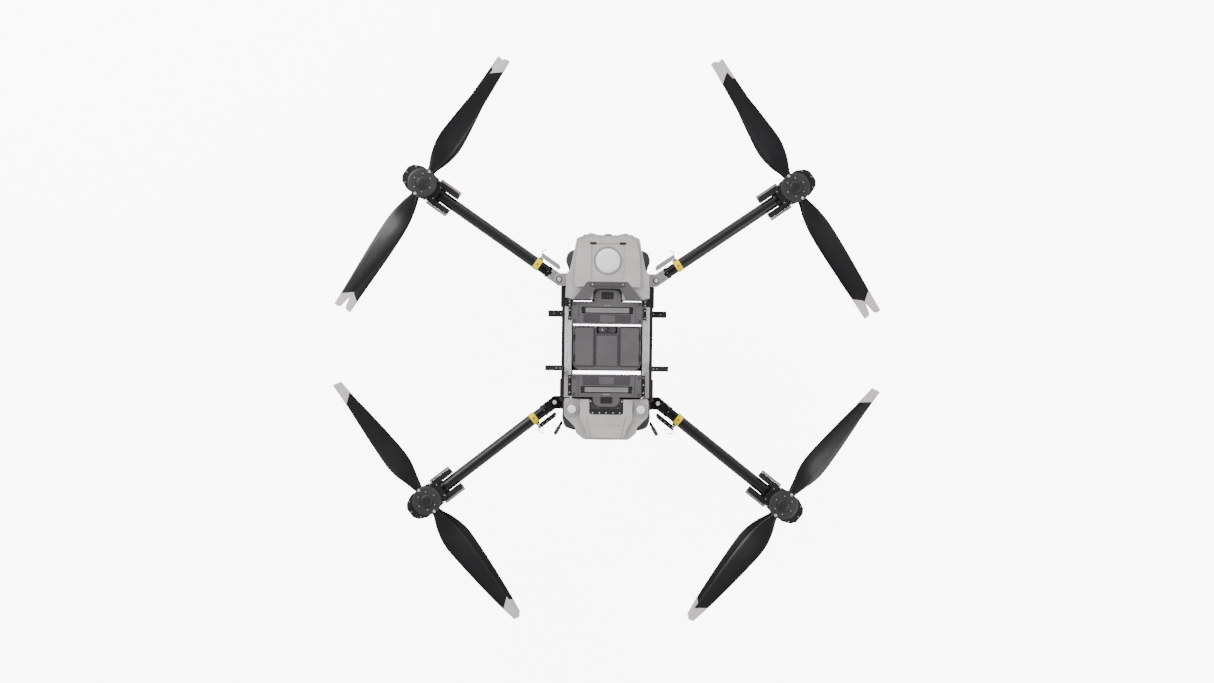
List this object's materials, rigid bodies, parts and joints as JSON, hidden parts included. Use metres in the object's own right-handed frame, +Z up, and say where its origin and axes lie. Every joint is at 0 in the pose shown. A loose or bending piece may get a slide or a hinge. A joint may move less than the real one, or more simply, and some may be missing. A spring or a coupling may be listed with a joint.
{
  "type": "cargo drone",
  "caption": "Folding heavy-lift drone with coaxial rotors on four folding arms, lift-out batteries, winch bay and skid legs.",
  "frame": {"origin": "on the ground under the middle of the outline with arms and blades open", "axes": "+X to the drone's right, +Y to its nose, +Z up"},
  "size_m": [2.5364, 2.6159, 0.947],
  "materials": {
    "shell": "light warm grey moulded shell, fine satin texture",
    "battery": "dark grey textured plastic",
    "lid": "white satin plastic",
    "carbon": "glossy carbon fibre",
    "frame": "black anodised and moulded parts",
    "rail": "bright satin anodised aluminium",
    "bracket": "grey anodised aluminium",
    "tray": "dark grey composite",
    "steel": "brushed steel"
  },
  "bodies": {
    "airframe": {"chassis": "frame", "front_tray": "tray", "rear_tray": "tray", "front_cover": "shell", "rear_cover": "shell", "parachute_canister": "frame", "rail_left": "rail", "rail_right": "rail", "leg_frame_left": "frame", "leg_frame_right": "frame", "winch_housing": "battery", "rtk_dome_left": "shell", "rtk_dome_right": "shell"},
    "arm_fl": {"arm_fl": "carbon", "motor_mount_fl": "frame"},
    "arm_latch_fl": {"arm_latch_fl": "bracket"},
    "upper_hub_fl": {"upper_hub_fl": "frame"},
    "upper_blade_a_fl": {"upper_blade_a_fl": "carbon"},
    "upper_blade_b_fl": {"upper_blade_b_fl": "carbon"},
    "lower_hub_fl": {"lower_hub_fl": "frame"},
    "lower_blade_a_fl": {"lower_blade_a_fl": "carbon"},
    "lower_blade_b_fl": {"lower_blade_b_fl": "carbon"},
    "arm_fr": {"arm_fr": "carbon", "motor_mount_fr": "frame"},
    "arm_latch_fr": {"arm_latch_fr": "bracket"},
    "upper_hub_fr": {"upper_hub_fr": "frame"},
    "upper_blade_a_fr": {"upper_blade_a_fr": "carbon"},
    "upper_blade_b_fr": {"upper_blade_b_fr": "carbon"},
    "lower_hub_fr": {"lower_hub_fr": "frame"},
    "lower_blade_a_fr": {"lower_blade_a_fr": "carbon"},
    "lower_blade_b_fr": {"lower_blade_b_fr": "carbon"},
    "arm_rl": {"arm_rl": "carbon", "motor_mount_rl": "frame"},
    "arm_latch_rl": {"arm_latch_rl": "bracket"},
    "upper_hub_rl": {"upper_hub_rl": "frame"},
    "upper_blade_a_rl": {"upper_blade_a_rl": "carbon"},
    "upper_blade_b_rl": {"upper_blade_b_rl": "carbon"},
    "lower_hub_rl": {"lower_hub_rl": "frame"},
    "lower_blade_a_rl": {"lower_blade_a_rl": "carbon"},
    "lower_blade_b_rl": {"lower_blade_b_rl": "carbon"},
    "arm_rr": {"arm_rr": "carbon", "motor_mount_rr": "frame"},
    "arm_latch_rr": {"arm_latch_rr": "bracket"},
    "upper_hub_rr": {"upper_hub_rr": "frame"},
    "upper_blade_a_rr": {"upper_blade_a_rr": "carbon"},
    "upper_blade_b_rr": {"upper_blade_b_rr": "carbon"},
    "lower_hub_rr": {"lower_hub_rr": "frame"},
    "lower_blade_a_rr": {"lower_blade_a_rr": "carbon"},
    "lower_blade_b_rr": {"lower_blade_b_rr": "carbon"},
    "front_battery": {"front_battery": "battery"},
    "front_battery_handle": {"front_battery_handle": "battery"},
    "front_battery_latch": {"front_battery_latch": "frame"},
    "rear_battery": {"rear_battery": "battery"},
    "rear_battery_handle": {"rear_battery_handle": "battery"},
    "rear_battery_latch": {"rear_battery_latch": "frame"},
    "parachute_lid": {"parachute_lid": "lid"},
    "winch_drum": {"winch_drum": "steel"},
    "lifting_hook": {"lifting_hook": "steel"},
    "antenna_left": {"antenna_left": "frame"},
    "antenna_right": {"antenna_right": "frame"}
  },
  "joints": [
    {"name": "arm_fl_fold", "type": "hinge", "parent": "airframe", "child": "arm_fl", "pos_m": [-0.224, 0.27166, 0.812], "axis": [0, 0, 1], "range_deg": [0, 118]},
    {"name": "arm_latch_fl_open", "type": "hinge", "parent": "arm_fl", "child": "arm_latch_fl", "pos_m": [-0.30121, 0.37998, 0.812], "axis": [0, 0, 1], "range_deg": [0, 85]},
    {"name": "upper_rotor_fl_spin", "type": "hinge", "parent": "arm_fl", "child": "upper_hub_fl", "pos_m": [-0.858, 0.70766, 0.927], "axis": [0, 0, 1], "continuous": true},
    {"name": "upper_blade_a_fl_fold", "type": "hinge", "parent": "upper_hub_fl", "child": "upper_blade_a_fl", "pos_m": [-0.8255, 0.75809, 0.927], "axis": [0, 0, 1], "range_deg": [-68, 0]},
    {"name": "upper_blade_b_fl_fold", "type": "hinge", "parent": "upper_hub_fl", "child": "upper_blade_b_fl", "pos_m": [-0.8905, 0.65723, 0.927], "axis": [0, 0, 1], "range_deg": [0, 114]},
    {"name": "lower_rotor_fl_spin", "type": "hinge", "parent": "arm_fl", "child": "lower_hub_fl", "pos_m": [-0.858, 0.70766, 0.697], "axis": [0, 0, 1], "continuous": true},
    {"name": "lower_blade_a_fl_fold", "type": "hinge", "parent": "lower_hub_fl", "child": "lower_blade_a_fl", "pos_m": [-0.82638, 0.75865, 0.697], "axis": [0, 0, 1], "range_deg": [-68, 0]},
    {"name": "lower_blade_b_fl_fold", "type": "hinge", "parent": "lower_hub_fl", "child": "lower_blade_b_fl", "pos_m": [-0.88962, 0.65667, 0.697], "axis": [0, 0, 1], "range_deg": [0, 114]},
    {"name": "arm_fr_fold", "type": "hinge", "parent": "airframe", "child": "arm_fr", "pos_m": [0.224, 0.27166, 0.812], "axis": [0, 0, -1], "range_deg": [0, 118]},
    {"name": "arm_latch_fr_open", "type": "hinge", "parent": "arm_fr", "child": "arm_latch_fr", "pos_m": [0.30121, 0.37998, 0.812], "axis": [0, 0, -1], "range_deg": [0, 85]},
    {"name": "upper_rotor_fr_spin", "type": "hinge", "parent": "arm_fr", "child": "upper_hub_fr", "pos_m": [0.858, 0.70766, 0.927], "axis": [0, 0, 1], "continuous": true},
    {"name": "upper_blade_a_fr_fold", "type": "hinge", "parent": "upper_hub_fr", "child": "upper_blade_a_fr", "pos_m": [0.8255, 0.75809, 0.927], "axis": [0, 0, 1], "range_deg": [0, 68]},
    {"name": "upper_blade_b_fr_fold", "type": "hinge", "parent": "upper_hub_fr", "child": "upper_blade_b_fr", "pos_m": [0.8905, 0.65723, 0.927], "axis": [0, 0, 1], "range_deg": [-114, 0]},
    {"name": "lower_rotor_fr_spin", "type": "hinge", "parent": "arm_fr", "child": "lower_hub_fr", "pos_m": [0.858, 0.70766, 0.697], "axis": [0, 0, 1], "continuous": true},
    {"name": "lower_blade_a_fr_fold", "type": "hinge", "parent": "lower_hub_fr", "child": "lower_blade_a_fr", "pos_m": [0.82638, 0.75865, 0.697], "axis": [0, 0, 1], "range_deg": [0, 68]},
    {"name": "lower_blade_b_fr_fold", "type": "hinge", "parent": "lower_hub_fr", "child": "lower_blade_b_fr", "pos_m": [0.88962, 0.65667, 0.697], "axis": [0, 0, 1], "range_deg": [-114, 0]},
    {"name": "arm_rl_fold", "type": "hinge", "parent": "airframe", "child": "arm_rl", "pos_m": [-0.24, -0.29734, 0.632], "axis": [0, 0, -1], "range_deg": [0, 122]},
    {"name": "arm_latch_rl_open", "type": "hinge", "parent": "arm_rl", "child": "arm_latch_rl", "pos_m": [-0.31001, -0.41045, 0.632], "axis": [0, 0, -1], "range_deg": [0, 85]},
    {"name": "upper_rotor_rl_spin", "type": "hinge", "parent": "arm_rl", "child": "upper_hub_rl", "pos_m": [-0.8275, -0.76034, 0.747], "axis": [0, 0, 1], "continuous": true},
    {"name": "upper_blade_a_rl_fold", "type": "hinge", "parent": "upper_hub_rl", "child": "upper_blade_a_rl", "pos_m": [-0.86386, -0.71261, 0.747], "axis": [0, 0, 1], "range_deg": [-114, 0]},
    {"name": "upper_blade_b_rl_fold", "type": "hinge", "parent": "upper_hub_rl", "child": "upper_blade_b_rl", "pos_m": [-0.79114, -0.80807, 0.747], "axis": [0, 0, 1], "range_deg": [0, 68]},
    {"name": "lower_rotor_rl_spin", "type": "hinge", "parent": "arm_rl", "child": "lower_hub_rl", "pos_m": [-0.8275, -0.76034, 0.517], "axis": [0, 0, 1], "continuous": true},
    {"name": "lower_blade_a_rl_fold", "type": "hinge", "parent": "lower_hub_rl", "child": "lower_blade_a_rl", "pos_m": [-0.86591, -0.71424, 0.517], "axis": [0, 0, 1], "range_deg": [-114, 0]},
    {"name": "lower_blade_b_rl_fold", "type": "hinge", "parent": "lower_hub_rl", "child": "lower_blade_b_rl", "pos_m": [-0.78909, -0.80644, 0.517], "axis": [0, 0, 1], "range_deg": [0, 68]},
    {"name": "arm_rr_fold", "type": "hinge", "parent": "airframe", "child": "arm_rr", "pos_m": [0.24, -0.29734, 0.632], "axis": [0, 0, 1], "range_deg": [0, 122]},
    {"name": "arm_latch_rr_open", "type": "hinge", "parent": "arm_rr", "child": "arm_latch_rr", "pos_m": [0.31001, -0.41045, 0.632], "axis": [0, 0, 1], "range_deg": [0, 85]},
    {"name": "upper_rotor_rr_spin", "type": "hinge", "parent": "arm_rr", "child": "upper_hub_rr", "pos_m": [0.8275, -0.76034, 0.747], "axis": [0, 0, 1], "continuous": true},
    {"name": "upper_blade_a_rr_fold", "type": "hinge", "parent": "upper_hub_rr", "child": "upper_blade_a_rr", "pos_m": [0.86386, -0.71261, 0.747], "axis": [0, 0, 1], "range_deg": [0, 114]},
    {"name": "upper_blade_b_rr_fold", "type": "hinge", "parent": "upper_hub_rr", "child": "upper_blade_b_rr", "pos_m": [0.79114, -0.80807, 0.747], "axis": [0, 0, 1], "range_deg": [-68, 0]},
    {"name": "lower_rotor_rr_spin", "type": "hinge", "parent": "arm_rr", "child": "lower_hub_rr", "pos_m": [0.8275, -0.76034, 0.517], "axis": [0, 0, 1], "continuous": true},
    {"name": "lower_blade_a_rr_fold", "type": "hinge", "parent": "lower_hub_rr", "child": "lower_blade_a_rr", "pos_m": [0.86591, -0.71424, 0.517], "axis": [0, 0, 1], "range_deg": [0, 114]},
    {"name": "lower_blade_b_rr_fold", "type": "hinge", "parent": "lower_hub_rr", "child": "lower_blade_b_rr", "pos_m": [0.78909, -0.80644, 0.517], "axis": [0, 0, 1], "range_deg": [-68, 0]},
    {"name": "front_battery_lift", "type": "slide", "parent": "airframe", "child": "front_battery", "axis": [0, 0, 1], "range_m": [0, 0.28]},
    {"name": "front_handle_raise", "type": "hinge", "parent": "front_battery", "child": "front_battery_handle", "pos_m": [0, 0.12366, 0.8735], "axis": [1, 0, 0], "range_deg": [0, 90]},
    {"name": "front_latch_press", "type": "slide", "parent": "front_battery", "child": "front_battery_latch", "axis": [0, 0, -1], "range_m": [0, 0.0025], "stiffness_N_per_m": 300, "springref_m": -0.002},
    {"name": "rear_battery_lift", "type": "slide", "parent": "airframe", "child": "rear_battery", "axis": [0, 0, 1], "range_m": [0, 0.28]},
    {"name": "rear_handle_raise", "type": "hinge", "parent": "rear_battery", "child": "rear_battery_handle", "pos_m": [0, -0.24234, 0.8735], "axis": [1, 0, 0], "range_deg": [0, 90]},
    {"name": "rear_latch_press", "type": "slide", "parent": "rear_battery", "child": "rear_battery_latch", "axis": [0, 0, -1], "range_m": [0, 0.0025], "stiffness_N_per_m": 300, "springref_m": -0.002},
    {"name": "parachute_lid_release", "type": "slide", "parent": "airframe", "child": "parachute_lid", "axis": [0, 0, 1], "range_m": [0, 0.15]},
    {"name": "winch_drum_wind", "type": "hinge", "parent": "airframe", "child": "winch_drum", "pos_m": [0, -0.04134, 0.67], "axis": [1, 0, 0], "range_deg": [0, 540]},
    {"name": "hook_lower", "type": "slide", "parent": "airframe", "child": "lifting_hook", "axis": [0, 0, -1], "range_m": [0, 0.3]},
    {"name": "antenna_left_tilt", "type": "hinge", "parent": "airframe", "child": "antenna_left", "pos_m": [-0.2085, -0.39434, 0.6], "axis": [1, 0, 0], "range_deg": [-60, 80]},
    {"name": "antenna_right_tilt", "type": "hinge", "parent": "airframe", "child": "antenna_right", "pos_m": [0.2085, -0.39434, 0.6], "axis": [1, 0, 0], "range_deg": [-60, 80]}
  ],
  "couplings": [
    {"joint": "upper_blade_a_fl_fold", "follows": "arm_fl_fold", "ratio": -0.55932},
    {"joint": "upper_blade_b_fl_fold", "follows": "arm_fl_fold", "ratio": 0.94915},
    {"joint": "lower_blade_a_fl_fold", "follows": "arm_fl_fold", "ratio": -0.55932},
    {"joint": "lower_blade_b_fl_fold", "follows": "arm_fl_fold", "ratio": 0.94915},
    {"joint": "upper_blade_a_fr_fold", "follows": "arm_fr_fold", "ratio": 0.55932},
    {"joint": "upper_blade_b_fr_fold", "follows": "arm_fr_fold", "ratio": -0.94915},
    {"joint": "lower_blade_a_fr_fold", "follows": "arm_fr_fold", "ratio": 0.55932},
    {"joint": "lower_blade_b_fr_fold", "follows": "arm_fr_fold", "ratio": -0.94915},
    {"joint": "upper_blade_a_rl_fold", "follows": "arm_rl_fold", "ratio": -0.91803},
    {"joint": "upper_blade_b_rl_fold", "follows": "arm_rl_fold", "ratio": 0.54098},
    {"joint": "lower_blade_a_rl_fold", "follows": "arm_rl_fold", "ratio": -0.91803},
    {"joint": "lower_blade_b_rl_fold", "follows": "arm_rl_fold", "ratio": 0.54098},
    {"joint": "upper_blade_a_rr_fold", "follows": "arm_rr_fold", "ratio": 0.91803},
    {"joint": "upper_blade_b_rr_fold", "follows": "arm_rr_fold", "ratio": -0.54098},
    {"joint": "lower_blade_a_rr_fold", "follows": "arm_rr_fold", "ratio": 0.91803},
    {"joint": "lower_blade_b_rr_fold", "follows": "arm_rr_fold", "ratio": -0.54098},
    {"joint": "hook_lower", "follows": "winch_drum_wind", "m_per_rad": 0.03}
  ]
}
